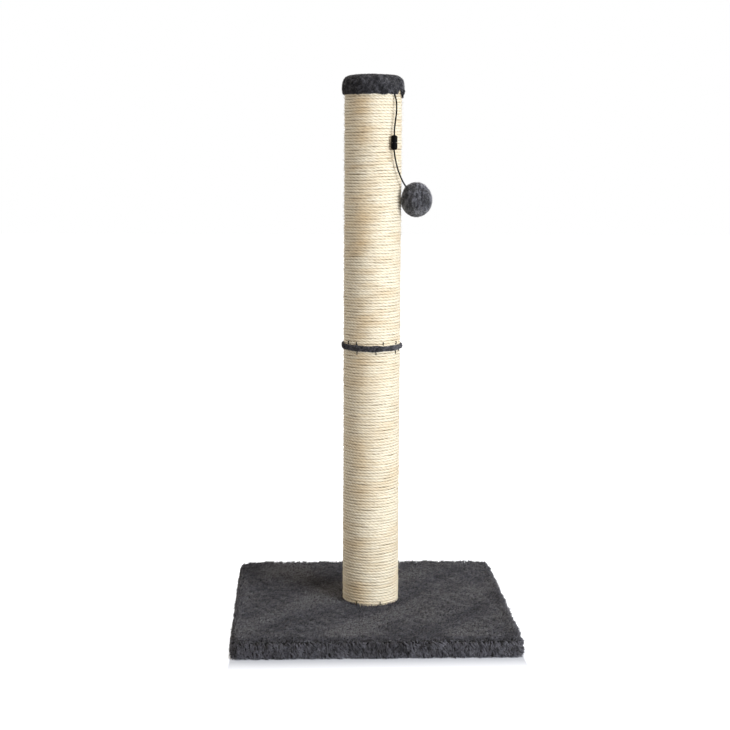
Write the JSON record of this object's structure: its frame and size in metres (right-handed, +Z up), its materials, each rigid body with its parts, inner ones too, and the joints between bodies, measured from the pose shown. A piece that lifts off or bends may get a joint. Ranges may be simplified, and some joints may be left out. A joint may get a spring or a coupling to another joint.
{
  "type": "cat scratching post",
  "caption": "Tall scratching post: sisal-wound round column on a square plush base, with a plush cap and a plush ball hanging beside it on a cord with a pull-apart clasp.",
  "frame": {"origin": "centre of the square base's underside, on the floor", "axes": "+Z up the post; -Y is the front, the side where the toy's cord comes out; +X is to the right seen from the front"},
  "size_m": [0.406, 0.406, 0.8072],
  "materials": {
    "plush": "long dark grey plush pile",
    "sisal": "twisted natural sisal rope",
    "board": "raw fibreboard",
    "paper_tube": "spiral-wound kraft paper",
    "plug_plastic": "moulded black plastic",
    "zinc_steel": "zinc-plated steel",
    "brass_insert": "turned brass",
    "cord": "black braided elastic cord",
    "clasp_plastic": "black moulded plastic, slight gloss",
    "ball_plush": "short blue-grey plush",
    "stuffing": "white polyester fibre",
    "dust_sheet": "black non-woven sheet"
  },
  "bodies": {
    "post": {"base_board": "board", "base_cover": "plush", "base_staples": "zinc_steel", "base_underlay": "dust_sheet", "base_washer": "zinc_steel", "base_bolt": "zinc_steel", "lower_foot_plug": "plug_plastic", "lower_foot_insert": "brass_insert", "lower_tube": "paper_tube", "lower_top_plug": "plug_plastic", "lower_top_insert": "brass_insert", "joint_stud": "zinc_steel", "upper_foot_plug": "plug_plastic", "upper_foot_insert": "brass_insert", "upper_tube": "paper_tube", "lower_rope": "sisal", "upper_rope": "sisal", "joint_band": "plush", "joint_staples": "zinc_steel", "foot_staples": "zinc_steel", "upper_top_plug": "board", "cap_board": "board", "cap_screws": "zinc_steel", "cap_cover": "plush", "toy_staple": "zinc_steel", "toy_cord_end": "cord"},
    "toy_upper": {"toy_cord_upper": "cord", "clasp_socket": "clasp_plastic"},
    "toy_clasp": {"clasp_plug": "clasp_plastic"},
    "toy_lower": {"toy_cord_lower": "cord"},
    "toy_ball": {"ball_cover": "ball_plush", "ball_filling": "stuffing", "ball_knot": "cord"}
  },
  "joints": [
    {"name": "toy_swing", "type": "hinge", "parent": "post", "child": "toy_upper", "pos_m": [0.02929, -0.0323, 0.7768], "axis": [-0.2571, -0.9664, 0], "range_deg": [0, 80]},
    {"name": "clasp_release", "type": "slide", "parent": "toy_upper", "child": "toy_clasp", "axis": [0, 0, -1], "range_m": [0, 0.012]},
    {"name": "toy_sway", "type": "hinge", "parent": "toy_clasp", "child": "toy_lower", "pos_m": [0.0286, -0.03768, 0.6983], "axis": [-0.9664, 0.2571, 0], "range_deg": [-20, 65]},
    {"name": "ball_tilt", "type": "hinge", "parent": "toy_lower", "child": "toy_ball", "pos_m": [0.04693, -0.02249, 0.64713], "axis": [-0.2571, -0.9664, 0], "range_deg": [0, 50]}
  ]
}
